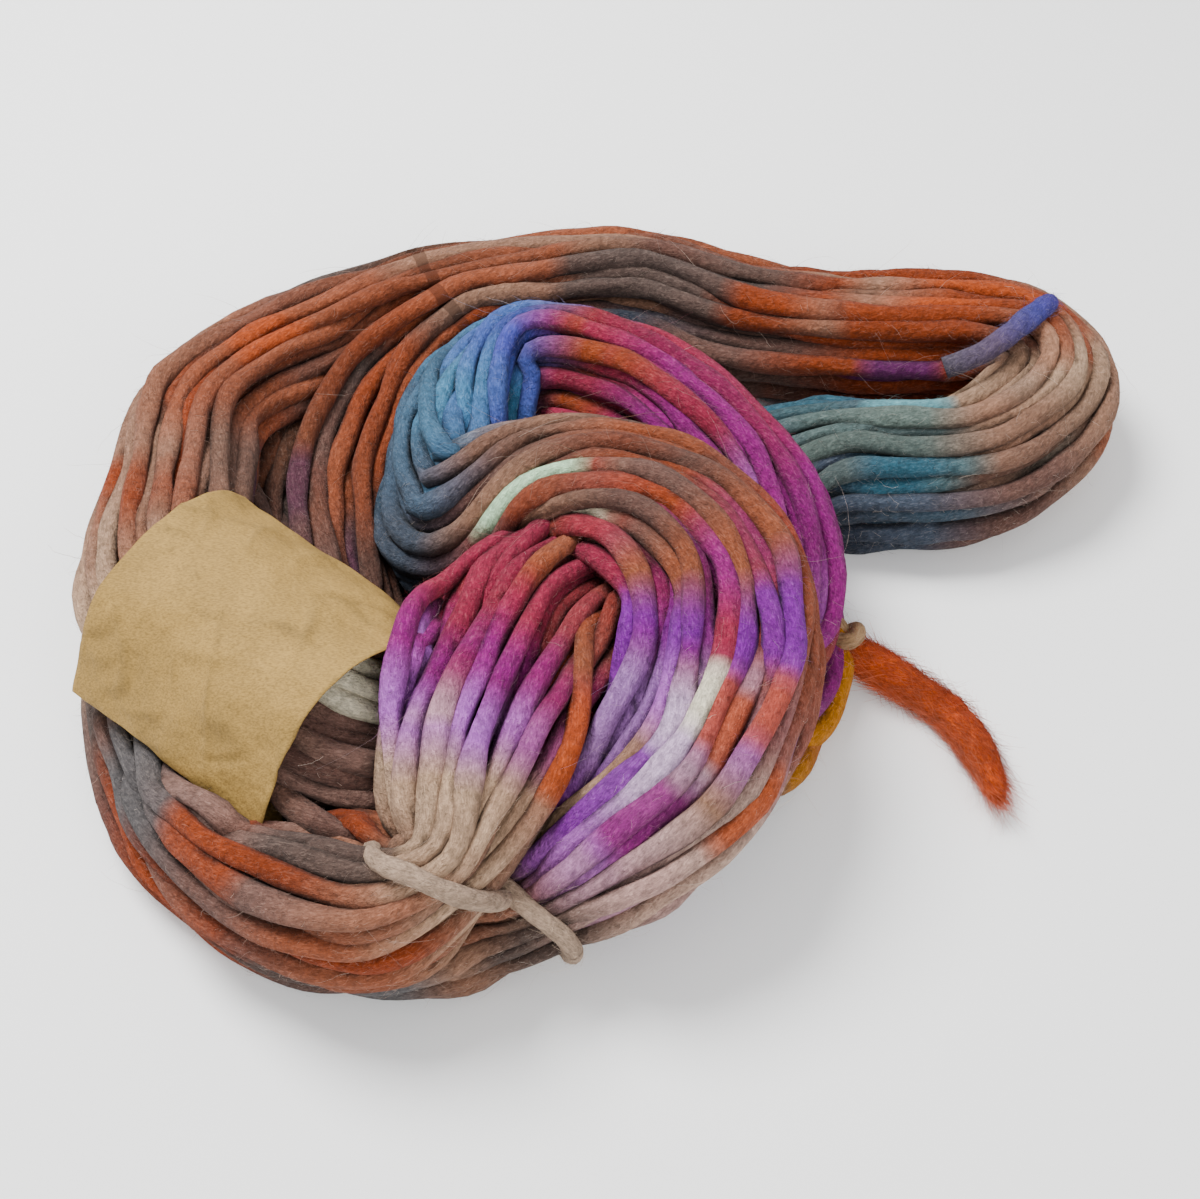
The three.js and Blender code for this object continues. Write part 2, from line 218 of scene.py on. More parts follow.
# the sleeve's middle, lean and section: half its width, its height above and below the fold
sleeve = {
    "x": -105.0, "y": -41.5, "z": 51.4, "length": 81.0, "angle": -38.5, "tilt": 9.0,
    "half": 40.5, "rise": 30.0, "drop": 16.0, "spread": 0.1, "under": 7.0,
    "gauge": 0.35, "along": 60, "around": 150, "seed": 4.0,
    "creases": ((0.5, 21, 1.5), (-0.9, 27, -1.4), (1.9, 16, 0.9)),
}


def unit(v):
    return v / (np.linalg.norm(v, axis=-1, keepdims=True) + 1e-12)


def catmullRom(p0, p1, p2, p3, t):
    return 0.5 * (2 * p1 + (p2 - p0) * t + (2 * p0 - 5 * p1 + 4 * p2 - p3) * t * t
                  + (3 * p1 - p0 - 3 * p2 + p3) * t ** 3)


def denseLoop(rows):
    # closed smooth loop through the section rows, all numbers alike
    table = np.array(rows, float)
    four = [np.roll(table, shift, 0) for shift in (1, 0, -1, -2)]
    out = [catmullRom(*four, k / yarn["perRow"]) for k in range(yarn["perRow"])]
    return np.stack(out, 1).reshape(-1, table.shape[1])


def runFrames(path):
    along = np.roll(path, -1, 0) - np.roll(path, 1, 0)
    along /= np.linalg.norm(along, axis=1)[:, None]
    side = np.cross(along, [0, 0, 1.0])
    side /= np.linalg.norm(side, axis=1)[:, None]
    return along, side, np.cross(side, along)


def softWave(rng, count, length):
    # smooth closed random wave through a few knots, about -1 to 1
    knots = rng.uniform(-1, 1, count)
    at = np.arange(length) / length * count
    i = at.astype(int)
    t = at - i
    t = t * t * (3 - 2 * t)
    return knots[i % count] * (1 - t) + knots[(i + 1) % count] * t


def slotsInDisc(count):
    i = np.arange(count) + 0.5
    radius = np.sqrt(i / count) * 0.97
    turn = i * math.pi * (3 - math.sqrt(5))
    return np.stack([radius * np.cos(turn), radius * np.sin(turn)], 1)


def spread(slots):
    # a share of the disc's slots, in the same order, spread evenly over the whole disc
    order = np.argsort(np.argsort(slots[:, 0]))
    level = np.linspace(-1, 1, 401)
    filled = (level * np.sqrt(1 - level ** 2) + np.arcsin(level)) / math.pi + 0.5
    wide = np.interp((order + 0.5) / len(slots), filled, level) * 0.97
    room = np.sqrt(np.clip(1 - slots[:, 0] ** 2, 0.05, 1))
    return np.stack([wide, slots[:, 1] / room * np.sqrt(1 - wide ** 2)], 1)


def evenLoop(points, extra, count):
    # closed line resampled to even steps; the extra columns, station first, go along
    step = np.linalg.norm(np.roll(points, -1, 0) - points, axis=1)
    run = np.concatenate([[0], np.cumsum(step)])
    at = np.linspace(0, run[-1], count, endpoint=False)
    allColumns = np.hstack([points, extra])
    closed = np.vstack([allColumns, allColumns[:1]])
    closed[-1, 3] = allColumns[-1, 3] + 1 / yarn["perRow"]
    return np.stack([np.interp(at, run, closed[:, c]) for c in range(closed.shape[1])], 1), run[-1]


def tightness(rows):
    # turns are drawn thinner where a section is too small for them all
    need = yarn["turns"] * (2 * yarn["contact"]) ** 2 * yarn["packing"]
    room = np.array([math.pi / 4 * r[4] * r[5] for r in rows])
    return np.clip(np.sqrt(0.95 * room / need), yarn["tightest"], 1)


def startStrands():
    rng = np.random.default_rng(yarn["seed"])
    slots = slotsInDisc(yarn["turns"])
    slots = slots[np.argsort(slots[:, 0])]
    split = yarn["turns"] - yarn["innerTurns"]
    strands, rests, chart = [], [], []
    for rows, own in ((outerRun, slots[:split]), (innerRun, slots[split:])):
        both = mainRun + rows
        tight = tightness(both)
        dense = denseLoop([r[1:6] + (rolls.get(r[0], 0), loose.get(r[0], yarn["wander"]), tight[i])
                           for i, r in enumerate(both)])
        station = np.arange(len(dense)) / yarn["perRow"]
        along, side, up = runFrames(dense[:, :3])
        # on the branch the turns that take it spread over its whole section
        blend = np.clip(np.minimum(station - (len(mainRun) - 1), len(both) - station), 0, 1)
        blend = blend * blend * (3 - 2 * blend)
        roll = np.radians(dense[:, 5])
        for slot, wide in zip(own, spread(own)):
            u0 = slot[0] * (1 - blend) + wide[0] * blend + dense[:, 6] * softWave(rng, 26, len(dense))
            v0 = slot[1] * (1 - blend) + wide[1] * blend + dense[:, 6] * softWave(rng, 26, len(dense))
            u = u0 * np.cos(roll) - v0 * np.sin(roll)
            v = u0 * np.sin(roll) + v0 * np.cos(roll)
            over = np.maximum(1, np.hypot(u, v) / 1.02)
            u, v = u / over, v / over
            line = (dense[:, :3] + side * (u * (dense[:, 3] / 2 - yarn["contact"]))[:, None]
                    + up * (v * (dense[:, 4] / 2 - yarn["contact"]))[:, None])
            even, length = evenLoop(line, np.stack([station, u, v, dense[:, 7]], 1), yarn["points"])
            strands.append(even)
            rests.append(length / yarn["points"])
            chart.append(len(rows))
    return np.array(strands), np.array(rests), chart


def nearPairs(points, reach):
    # pairs of points in the same or a neighbouring grid cell
    cell = np.floor((points - points.min(0)) / reach).astype(np.int64) + 1
    size = cell.max(0) + 2
    key = (cell[:, 0] * size[1] + cell[:, 1]) * size[2] + cell[:, 2]
    order = np.argsort(key, kind="stable")
    ordered = key[order]
    first, second = [], []
    for dx in (-1, 0, 1):
        for dy in (-1, 0, 1):
            for dz in (-1, 0, 1):
                step = (dx * size[1] + dy) * size[2] + dz
                if step < 0:
                    continue
                low = np.searchsorted(ordered, key + step, "left")
                many = np.searchsorted(ordered, key + step, "right") - low
                a = np.repeat(np.arange(len(points)), many)
                inside = np.arange(many.sum()) - np.repeat(np.cumsum(many) - many, many)
                b = order[np.repeat(low, many) + inside]
                keep = a < b if step == 0 else np.ones(len(a), bool)
                first.append(a[keep])
                second.append(b[keep])
    return np.concatenate(first), np.concatenate(second)


def sleeveLocal(points):
    # along the sleeve, across it and up from its fold
    turn, tilt = math.radians(sleeve["angle"]), math.radians(sleeve["tilt"])
    d = points - [sleeve["x"], sleeve["y"], sleeve["z"]]
    t = d[..., 0] * math.cos(turn) + d[..., 1] * math.sin(turn)
    u = -d[..., 0] * math.sin(turn) + d[..., 1] * math.cos(turn)
    v = d[..., 2]
    return t, u * math.cos(tilt) + v * math.sin(tilt), v * math.cos(tilt) - u * math.sin(tilt)


def sleeveWorld(t, u, v):
    turn, tilt = math.radians(sleeve["angle"]), math.radians(sleeve["tilt"])
    u, v = u * math.cos(tilt) - v * math.sin(tilt), u * math.sin(tilt) + v * math.cos(tilt)
    x = sleeve["x"] + t * math.cos(turn) - u * math.sin(turn)
    y = sleeve["y"] + t * math.sin(turn) + u * math.cos(turn)
    return np.stack([x, y, sleeve["z"] + v], -1)


# what the sleeve does to the turns, in mm: the hold eases off over mouthRun from mouthIn inside
# each mouth, by up to give; the room is kept inside, outside and at the folded edge
held = {"mouthIn": 6, "mouthRun": 14, "give": 9, "inside": 2.4, "outside": 0.8, "fold": 8}


def keepSleeve(points, inSleeve):
    # turns in the sleeve stay within its section, all others go round it
    t, u, v = sleeveLocal(points)
    past = (np.abs(t) - sleeve["length"] / 2 + held["mouthIn"]) / held["mouthRun"]
    near = past < 1
    give = np.clip(past, 0, 1) * held["give"]
    reach = yarn["diameter"] / 2
    for member, grow in ((True, -reach - held["inside"]), (False, reach + held["outside"])):
        ease = give if member else -give
        half = sleeve["half"] + grow + ease - np.where((u < 0) & member, held["fold"], 0)
        high = np.where(v > 0, sleeve["rise"], sleeve["drop"]) + grow + ease
        rho = np.sqrt((u / half) ** 2 + (v / high) ** 2)
        if member:
            pick = near & inSleeve & (rho > 1)
        else:
            pick = near & ~inSleeve & (rho < 1)
        scale = 1 / np.clip(rho[pick], 0.3, None)
        points[pick] = sleeveWorld(t[pick], u[pick] * scale, v[pick] * scale)
    # what runs below the folded edge stays under the paper
    t, u, v = sleeveLocal(points)
    arch = np.sqrt(np.clip(1 - (u / sleeve["half"]) ** 2, 0, 1))
    low = -sleeve["drop"] * arch * 0.9 - reach + give * 1.5
    pick = near & ~inSleeve & (u < 0) & (u > -sleeve["half"] - 3) & (v < 14) & (v > low)
    points[pick] = sleeveWorld(t[pick], u[pick], v[pick] + (low[pick] - v[pick]) * 0.5)


def sectionFrame(name):
    # the station, centre and directions of one section of the main run
    at = [r[0] for r in mainRun].index(name)
    rows = np.array([r[1:4] for r in mainRun], float)
    along = unit(rows[at + 1] - rows[at - 1])
    side = unit(np.cross(along, [0, 0, 1.0]))
    return at, rows[at], along, side, np.cross(side, along)


# how the turns settle: shares of a move that are made in each round, and a sink in mm
settling = {
    "rounds": 170, "quickRounds": 40, "lookAgain": 5, "search": 1.25, "crowd": 0.45, "spring": 0.18,
    "follow": 0.3, "smooth": 0.03, "home": 0.02, "lateHome": 0.01, "sink": 0.03, "tie": 0.8,
}


def drawIn(points, station):
    # the ties hold the turns to their own section
    for name in ("tieOne", "tieTwo"):
        at, centre, _, side, up = sectionFrame(name)
        half, high = (size / 2 - yarn["contact"] for size in mainRun[at][4:6])
        pick = np.flatnonzero(np.abs(station - at) < 0.5)
        off = points[pick] - centre
        a = off @ side
        b = off @ up
        rho = np.sqrt((a / half) ** 2 + (b / high) ** 2)
        back = (1 / np.maximum(rho, 1) - 1) * settling["tie"]
        points[pick] += side * (a * back)[:, None] + up * (b * back)[:, None]


def settle(strands, rests):
    # turns push each other apart, keep their length, smooth out and stay near their place;
    # the near pairs are looked up again every few rounds
    turns, count = strands.shape[:2]
    home = strands[:, :, :3].copy()
    now = home.copy()
    station = strands[:, :, 3]
    outer = np.arange(turns)[:, None] < turns - yarn["innerTurns"]
    past = station - len(mainRun)
    inSleeve = (outer & (past > 0.2) & (past < 3.9)).reshape(-1)
    owner = np.repeat(np.arange(turns), count)
    index = np.tile(np.arange(count), turns)
    gap = 2 * yarn["contact"]
    own = strands[:, :, 6].reshape(-1) * yarn["contact"]
    floor = -placing["z"] + yarn["diameter"] / 2 + 0.3
    rounds = settling["rounds"]
    for n in range(rounds):
        flat = now.reshape(-1, 3)
        if n % settling["lookAgain"] == 0:
            a, b = nearPairs(flat, gap * settling["search"])
            apart = np.abs(index[a] - index[b])
            apart = np.minimum(apart, count - apart)
            keep = (owner[a] != owner[b]) | (apart > 4)
            a, b = a[keep], b[keep]
        d = flat[a] - flat[b]
        far = np.linalg.norm(d, axis=1) + 1e-9
        push = np.clip(own[a] + own[b] - far, 0, None) * 0.5
        d *= (push / far)[:, None]
        hits = np.bincount(a, push > 0, len(flat)) + np.bincount(b, push > 0, len(flat))
        share = 1 / np.maximum(1, hits * settling["crowd"])
        for axis in range(3):
            move = np.bincount(a, d[:, axis], len(flat)) - np.bincount(b, d[:, axis], len(flat))
            flat[:, axis] += move * share
        now = flat.reshape(turns, count, 3)
        ahead = np.roll(now, -1, 1) - now
        length = np.linalg.norm(ahead, axis=2, keepdims=True) + 1e-9
        pull = ahead * ((length - rests[:, None, None]) / length) * settling["spring"]
        now += pull - np.roll(pull, 1, 1)
        off = now - home
        now += ((np.roll(off, -1, 1) + np.roll(off, 1, 1)) / 2 - off) * settling["follow"]
        now += ((np.roll(now, -1, 1) + np.roll(now, 1, 1)) / 2 - now) * settling["smooth"]
        now += (home - now) * settling["home" if n < rounds * 0.6 else "lateHome"]
        now[:, :, 2] -= settling["sink"]
        flat = now.reshape(-1, 3)
        keepSleeve(flat, inSleeve)
        drawIn(flat, station.reshape(-1))
        flat[:, 2] = np.maximum(flat[:, 2], floor)
        now = flat.reshape(turns, count, 3)
    return now


# how uneven the dye is: its shift along a turn in sections, by place and by turn, how sharply
# one section's dye and a stray dye begin, and how much the depth varies
dyeing = {"shift": 0.26, "ownShift": 0.14, "edge": 1.6, "strayEdge": 6, "depth": 0.16, "ownDepth": 0.1}


def mixDyes(strands, settled, rests, chart):
    # colour at each point from the section rows, with its own shift along each turn
    rng = np.random.default_rng(yarn["seed"] + 5)
    out = np.zeros(strands.shape[:2] + (3,))
    for k, branch in enumerate(chart):
        both = mainRun + (outerRun if branch == len(outerRun) else innerRun)
        tones = np.array([[linear(dyes[n]) for n in row[6:10]] for row in both])
        often = np.array([row[10] for row in both])
        count = strands.shape[1]
        shift = (softWave(rng, 30, count) * dyeing["shift"]
                 + rng.uniform(-dyeing["ownShift"], dyeing["ownShift"]))
        at = (strands[k, :, 3] + shift) % len(both)
        i = at.astype(int)
        t = np.clip((at - i - 0.5) * dyeing["edge"] + 0.5, 0, 1)[:, None]
        u = np.clip(strands[k, :, 4] * 1.15 + rng.uniform(-0.25, 0.25), -1, 1)
        weights = np.stack([np.clip(-u, 0, 1), 1 - np.abs(u), np.clip(u, 0, 1)], 1)

        def rowTone(row):
            return np.einsum("nk,nkc->nc", weights, tones[row][:, :3])

        base = rowTone(i) * (1 - t) + rowTone((i + 1) % len(both)) * t
        stray = tones[i, 3] * (1 - t) + tones[(i + 1) % len(both), 3] * t
        level = (softWave(rng, 34, count) + rng.uniform(-0.5, 0.5)) * 0.5 + 0.5
        amount = np.clip((level - (1 - often[i])) * dyeing["strayEdge"] + 0.5, 0, 1)[:, None]
        colour = base * (1 - amount) + stray * amount
        shade = (0.93 + dyeing["depth"] * softWave(rng, 60, count)
                 + rng.uniform(-dyeing["ownDepth"], dyeing["ownDepth"]))
        out[k] = colour * shade[:, None]
    for x, y, z, dye, reach, many in accents:
        away = np.linalg.norm(settled - [x, y, z], axis=2)
        for k in np.argsort(away.min(1))[:many]:
            off = np.abs(np.arange(count) - away[k].argmin())
            run = np.minimum(off, count - off) * rests[k]
            amount = np.clip((reach * rng.uniform(0.8, 1.2) - run) / 7 + 0.5, 0, 0.92)[:, None]
            out[k] = out[k] * (1 - amount) + np.array(linear(dyes[dye])) * amount
    return np.clip(out, 0, 1)


def meshOfCurve(name, data):
    maker = bpy.data.objects.new(name + "Maker", data)
    bpy.context.scene.collection.objects.link(maker)
    mesh = bpy.data.meshes.new_from_object(maker.evaluated_get(bpy.context.evaluated_depsgraph_get()))
    mesh.name = name
    bpy.data.objects.remove(maker)
    bpy.data.curves.remove(data)
    return mesh


def polyCurve(name, lines, radii, closed=False):
    data = bpy.data.curves.new(name, "CURVE")
    data.dimensions = "3D"
    for line, radius in zip(lines, radii):
        spline = data.splines.new("POLY")
        spline.points.add(len(line) - 1)
        spline.points.foreach_set("co", np.insert(line, 3, 1, 1).astype(np.float32).ravel())
        spline.points.foreach_set("radius", np.asarray(radius, np.float32))
        spline.use_cyclic_u = closed
    return data


def verticesOf(mesh):
    return readArray(mesh.vertices, "co", np.float32, 3).astype(float)


def writeDye(mesh, tones):
    dye = mesh.attributes.new("dye", "FLOAT_COLOR", "POINT")
    dye.data.foreach_set("color", np.insert(tones, 3, 1, 1).astype(np.float32).ravel())


def writeMap(mesh, u, v):
    # the map that a bake uses
    layer = mesh.uv_layers.get("OFBake") or mesh.uv_layers.new(name="OFBake")
    layer.uv.foreach_set("vector", np.stack([u, v], 1).astype(np.float32).ravel())
    mesh.uv_layers.active = layer


def layOutTubes(mesh, turns, count, sides, closed, folds=2):
    # each turn has its own strips of the map, so that a bake keeps its colours apart
    corner = readArray(mesh.loops, "vertex_index", np.int64)
    starts = readArray(mesh.polygons, "loop_start", np.int64)
    face = np.repeat(np.arange(len(starts)), np.diff(np.append(starts, len(corner))))
    turn, step, place = corner // (count * sides), corner // sides % count, corner % sides
    # faces that close a ring or a loop run on to its last step, not back to its first
    low, high, far = (np.zeros(len(starts), np.int64) for _ in range(3))
    low += count
    np.minimum.at(low, face, step)
    np.maximum.at(high, face, step)
    np.maximum.at(far, face, place)
    step = np.where(closed & (high[face] - low[face] > 1) & (step == 0), count, step)
    place = np.where((far[face] == sides - 1) & (place == 0), sides, place)
    first = np.full(len(starts), count)
    np.minimum.at(first, face, step)
    fold = np.minimum(first[face] * folds // count, folds - 1)
    u = (step - fold * count / folds) / (count / folds)
    v = (turn * folds + fold + 0.03 + 0.94 * place / sides) / (turns * folds)
    writeMap(mesh, u, v)


def rovingTubes(name, lines, radii, colours, closed, sides, thick, lump, seed):
    # tubes along the lines, then swollen and dented as loose wool is; gives the mesh and its rings
    turns, count = lines.shape[:2]
    rng = np.random.default_rng(seed)
    radii = np.array([r * (1 + thick * (softWave(rng, count // 5, count)
                                        + 0.6 * softWave(rng, count // 3, count))) for r in radii])
    data = polyCurve(name, lines, radii, closed)
    data.bevel_depth = 1.0
    data.bevel_resolution = (sides - 4) // 2
    mesh = meshOfCurve(name, data)
    rings = verticesOf(mesh).reshape(turns, count, sides, 3)
    middle = rings.mean(2, keepdims=True)
    turn = np.arange(sides) / sides * 2 * math.pi
    swell = np.zeros((turns, count, sides))
    for k in range(turns):
        for waves, share in ((1, 0.5), (2, 1.0), (3, 0.7)):
            amount = softWave(rng, max(3, count // 4), count)[:, None]
            phase = softWave(rng, max(3, count // 9), count)[:, None] * math.pi * 1.5
            swell[k] += share * amount * np.cos(waves * turn + phase)
    rings = middle + (rings - middle) * (1 + lump * swell)[..., None]
    rings[..., 2] = np.maximum(rings[..., 2], 0.0002)
    mesh.vertices.foreach_set("co", rings.astype(np.float32).ravel())
    writeDye(mesh, np.repeat(colours.reshape(-1, 3), sides, axis=0))
    # strandSpace is the strand pulled straight and lightly twisted, in mm, far from the next one
    step = np.linalg.norm(np.diff(lines, axis=1), axis=2)
    run = np.concatenate([np.zeros((turns, 1)), np.cumsum(step, 1)], 1) / mm
    run = run + np.arange(turns)[:, None] * 517.0
    twist = turn + run[:, :, None] * 0.05
    across = radii[:, :, None] / mm
    space = [np.repeat(run[:, :, None], sides, 2), across * np.cos(twist), across * np.sin(twist)]
    strandSpace = mesh.attributes.new("strandSpace", "FLOAT_VECTOR", "POINT")
    strandSpace.data.foreach_set("vector", np.stack(space, -1).astype(np.float32).ravel())
    layOutTubes(mesh, turns, count, sides, closed)
    if not closed:
        bm = bmesh.new()
        bm.from_mesh(mesh)
        bmesh.ops.holes_fill(bm, edges=[e for e in bm.edges if e.is_boundary], sides=0)
        bm.to_mesh(mesh)
        bm.free()
    mesh.polygons.foreach_set("use_smooth", [True] * len(mesh.polygons))
    return mesh, rings


def shadeCreases(mesh, tree):
    # painted shade: the turns' dye is darkened down between the turns, where shade falls, the more the nearer
    # the next surface along each vertex's normal
    reach, lift, darkest = 4.5 * mm, 0.3 * mm, 0.2
    out = readArray(mesh.vertex_normals, "vector", np.float32, 3).astype(float)
    free = np.ones(len(out))
    for n, (spot, way) in enumerate(zip(verticesOf(mesh) + out * lift, out)):
        hit = tree.ray_cast(Vector(spot), Vector(way), reach)[3]
        if hit is not None:
            free[n] = hit / reach
    dye = mesh.attributes["dye"]
    tone = readArray(dye.data, "color", np.float32, 4)
    tone[:, :3] *= (darkest + (1 - darkest) * np.clip(free, 0, 1) ** 0.9)[:, None]
    dye.data.foreach_set("color", tone.ravel())


def showPiece(name, mesh, made, nodes=()):
    piece = bpy.data.objects.new(name, mesh)
    bpy.context.scene.collection.objects.link(piece)
    mesh.materials.clear()
    mesh.materials.append(made)
    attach(piece, "root")
    if nodes:
        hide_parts(*nodes)
    return piece


def feltedRoving(name, paleness):
    # loosely spun wool roving, steam felted: matt, with fine lengthwise fibre streaks that catch
    # light, small dark gaps between them and soft swellings a few mm long; the streaks are 0.5 mm
    # wide, drawn a little coarse so that they show
    made, tree, shader = startMaterial(
        name, Roughness=0.95, IOR=1.5, Specular_IOR_Level=0.08, Sheen_Weight=0.04, Sheen_Roughness=0.6)
    # on the turns the dye attribute also holds painted shade, darker down between the turns
    dye = addNode(tree, "ShaderNodeAttribute", attribute_name="dye")
    space = addNode(tree, "ShaderNodeAttribute", attribute_name="strandSpace").outputs["Vector"]
    combed = addNode(tree, "ShaderNodeVectorMath", {0: space, 1: (0.3, 1, 1)}, operation="MULTIPLY")
    streaks = addNode(tree, "ShaderNodeTexNoise", {
        "Vector": combed.outputs[0], "Scale": 1.7, "Detail": 4.0, "Roughness": 0.62, "Distortion": 0.9})
    tufts = addNode(tree, "ShaderNodeTexNoise",
                    {"Vector": space, "Scale": 0.42, "Detail": 3.0, "Roughness": 0.6})
    fine = addNode(tree, "ShaderNodeTexNoise",
                   {"Vector": space, "Scale": 2.6, "Detail": 2.0, "Roughness": 0.6})
    depth = addNode(tree, "ShaderNodeMapRange", {
        "Value": streaks.outputs[0], "From Min": 0.3, "From Max": 0.72, "To Min": 0.6, "To Max": 1.3})
    cloud = addNode(tree, "ShaderNodeMapRange", {
        "Value": tufts.outputs[0], "From Min": 0.3, "From Max": 0.7, "To Min": 0.74, "To Max": 1.24})
    both = addNode(tree, "ShaderNodeMath", {0: depth.outputs[0], 1: cloud.outputs[0]},
                   operation="MULTIPLY")
    shaded = addNode(tree, "ShaderNodeVectorMath",
                     {0: dye.outputs["Color"], "Scale": both.outputs[0]}, operation="SCALE")
    tips = addNode(tree, "ShaderNodeMapRange", {
        "Value": streaks.outputs[0], "From Min": 0.52, "From Max": 0.8, "To Min": 0.0, "To Max": paleness})
    pale = addNode(tree, "ShaderNodeMix", {0: tips.outputs[0], 6: shaded.outputs[0],
                                           7: (*linear("#D9C6B4"), 1)}, data_type="RGBA")
    tree.links.new(pale.outputs[2], shader.inputs["Base Color"])
    bump = None
    for pattern, strength, distance in ((tufts, 0.7, 0.0022), (fine, 0.6, 0.0008), (streaks, 0.55, 0.0009)):
        below = {"Normal": bump.outputs[0]} if bump else {}
        bump = addNode(tree, "ShaderNodeBump", {
            "Height": pattern.outputs[0], "Strength": strength, "Distance": distance, **below})
    tree.links.new(bump.outputs[0], shader.inputs["Normal"])
    return made


def woolFibres(name):
    # single loose wool fibres, off the surface: pale against the light and a little uneven in dye
    made, tree, shader = startMaterial(
        name, Roughness=0.85, IOR=1.5, Specular_IOR_Level=0.1, Sheen_Weight=0.03, Sheen_Roughness=0.6)
    dye = addNode(tree, "ShaderNodeAttribute", attribute_name="dye")
    where = addNode(tree, "ShaderNodeTexCoord")
    uneven = addNode(tree, "ShaderNodeTexNoise",
                     {"Vector": where.outputs["Object"], "Scale": 260.0, "Detail": 2.0})
    level = addNode(tree, "ShaderNodeMapRange", {
        "Value": uneven.outputs[0], "From Min": 0.3, "From Max": 0.7, "To Min": 0.78, "To Max": 1.2})
    shaded = addNode(tree, "ShaderNodeVectorMath",
                     {0: dye.outputs["Color"], "Scale": level.outputs[0]}, operation="SCALE")
    tree.links.new(shaded.outputs[0], shader.inputs["Base Color"])
    return made


def rootsOn(rings, colours, number, rng, closed=True):
    # random places on the tubes, with their outward and lengthwise directions and dye
    turns, count, sides = rings.shape[:3]
    k = rng.integers(0, turns, number)
    i = rng.integers(0, count if closed else count - 1, number)
    j = rng.integers(0, sides, number)
    a, b = rng.random((2, number, 1))
    ahead = (i + 1) % count
    middle = rings.mean(2)
    point = (rings[k, i, j] + (rings[k, ahead, j] - rings[k, i, j]) * a
             + (rings[k, i, (j + 1) % sides] - rings[k, i, j]) * b)
    along = unit(middle[k, ahead] - middle[k, i])
    out = point - middle[k, i] - (middle[k, ahead] - middle[k, i]) * a
    out = unit(out - along * (out * along).sum(1, keepdims=True))
    return point, out, along, colours[k, i] * (1 - a) + colours[k, ahead] * a


def openToAir(tree, point, out):
    lift = unit(out + [0, 0, 0.6])
    starts = point + out * 0.0007
    clear = [tree.ray_cast(Vector(s), Vector(d), 0.08)[0] is None for s, d in zip(starts, lift)]
    return np.array(clear) & (point[:, 2] > 0.002)


def fibreLines(point, out, along, rng, size, points=4):
    # each fibre leaves the surface at a low angle, bows over and comes back towards it
    number = len(point)
    length = rng.uniform(*size["length"], (number, 1)) * mm
    length = length * rng.choice([0.6, 1.0, 1.0, 1.5], (number, 1))
    across = np.cross(along, out)
    way = rng.choice([-1.0, 1.0], (number, 1)) * rng.uniform(0.45, 1, (number, 1))
    lean = rng.uniform(-size["lean"], size["lean"], (number, 1))
    rise = rng.uniform(*size["rise"], (number, 1))
    curl = rng.uniform(-0.5, 0.5, (number, 1))
    start = unit(along * way + across * lean + out * rise)
    lines = []
    for q in np.linspace(0, 1, points):
        lines.append(point - out * 0.0002 + start * length * q - out * rise * length * 0.55 * q * q
                     + across * curl * length * q * q)
    lines = np.stack(lines, 1)
    lines[..., 2] = np.maximum(lines[..., 2], 0.0003)
    return lines


def fibrePiece(name, lines, colours, width, made):
    # flat ribbons, one strip of faces each; every fibre has its own cell of the map
    number, points = lines.shape[:2]
    taper = np.linspace(1, 0.35, points)
    data = polyCurve(name, lines, [taper] * number)
    data.extrude = width * mm / 2
    mesh = meshOfCurve(name, data)
    writeDye(mesh, np.repeat(colours, 2 * points, axis=0))
    corner = readArray(mesh.loops, "vertex_index", np.int64)
    fibre, place = corner // (2 * points), corner % (2 * points)
    grid = math.ceil(math.sqrt(number))
    u = (fibre % grid + 0.15 + 0.7 * (place // 2) / (points - 1)) / grid
    writeMap(mesh, u, (fibre // grid + 0.25 + 0.5 * (place % 2)) / grid)
    return showPiece(name, mesh, made)


strands, rests, chart = startStrands()
settled = settle(strands, rests)
print("turns settled", settled.shape)


def addKinks(lines):
    # small bends that a hand-wound, felted strand keeps
    rng = np.random.default_rng(yarn["seed"] + 1)
    out = lines.copy()
    for k in range(len(lines)):
        for axis in range(3):
            out[k, :, axis] += yarn["kink"] * softWave(rng, 88, lines.shape[1])
    return out


tones = mixDyes(strands, settled, rests, chart)
lines = placed(addKinks(settled))
wool = feltedRoving("feltedWoolRoving", 0.09)
looseWool = woolFibres("looseWoolFibres")
ringSets, toneSets, solidMeshes = [], [], []
pieceNames = ("turnsLeft", "turnsMiddle", "turnsRight")
for n, share in enumerate(np.array_split(np.arange(yarn["turns"]), len(pieceNames))):
    radii = strands[share, :, 6] * yarn["diameter"] / 2 * mm
    mesh, rings = rovingTubes(pieceNames[n], lines[share], radii, tones[share], True,
                              yarn["sides"], yarn["thick"], yarn["lump"], yarn["seed"] + n)
    showPiece(pieceNames[n], mesh, wool, ("skein",))
    ringSets.append(rings)
    toneSets.append(tones[share])
    solidMeshes.append(mesh)
skeinRings, skeinTones = np.concatenate(ringSets), np.concatenate(toneSets)
print("turns drawn")

# a tie bites into the turns below it; a lean slides its near and its side parts along the run
tie = {
    "diameter": 6.0, "bite": 1.8, "points": 96, "waves": 4, "sides": 12, "thick": 0.05, "lump": 0.07,
    "seed": 21, "tone": "#9C8470", "leftLean": (6.0, 4.0), "rightLean": (3.0, 12.0),
}


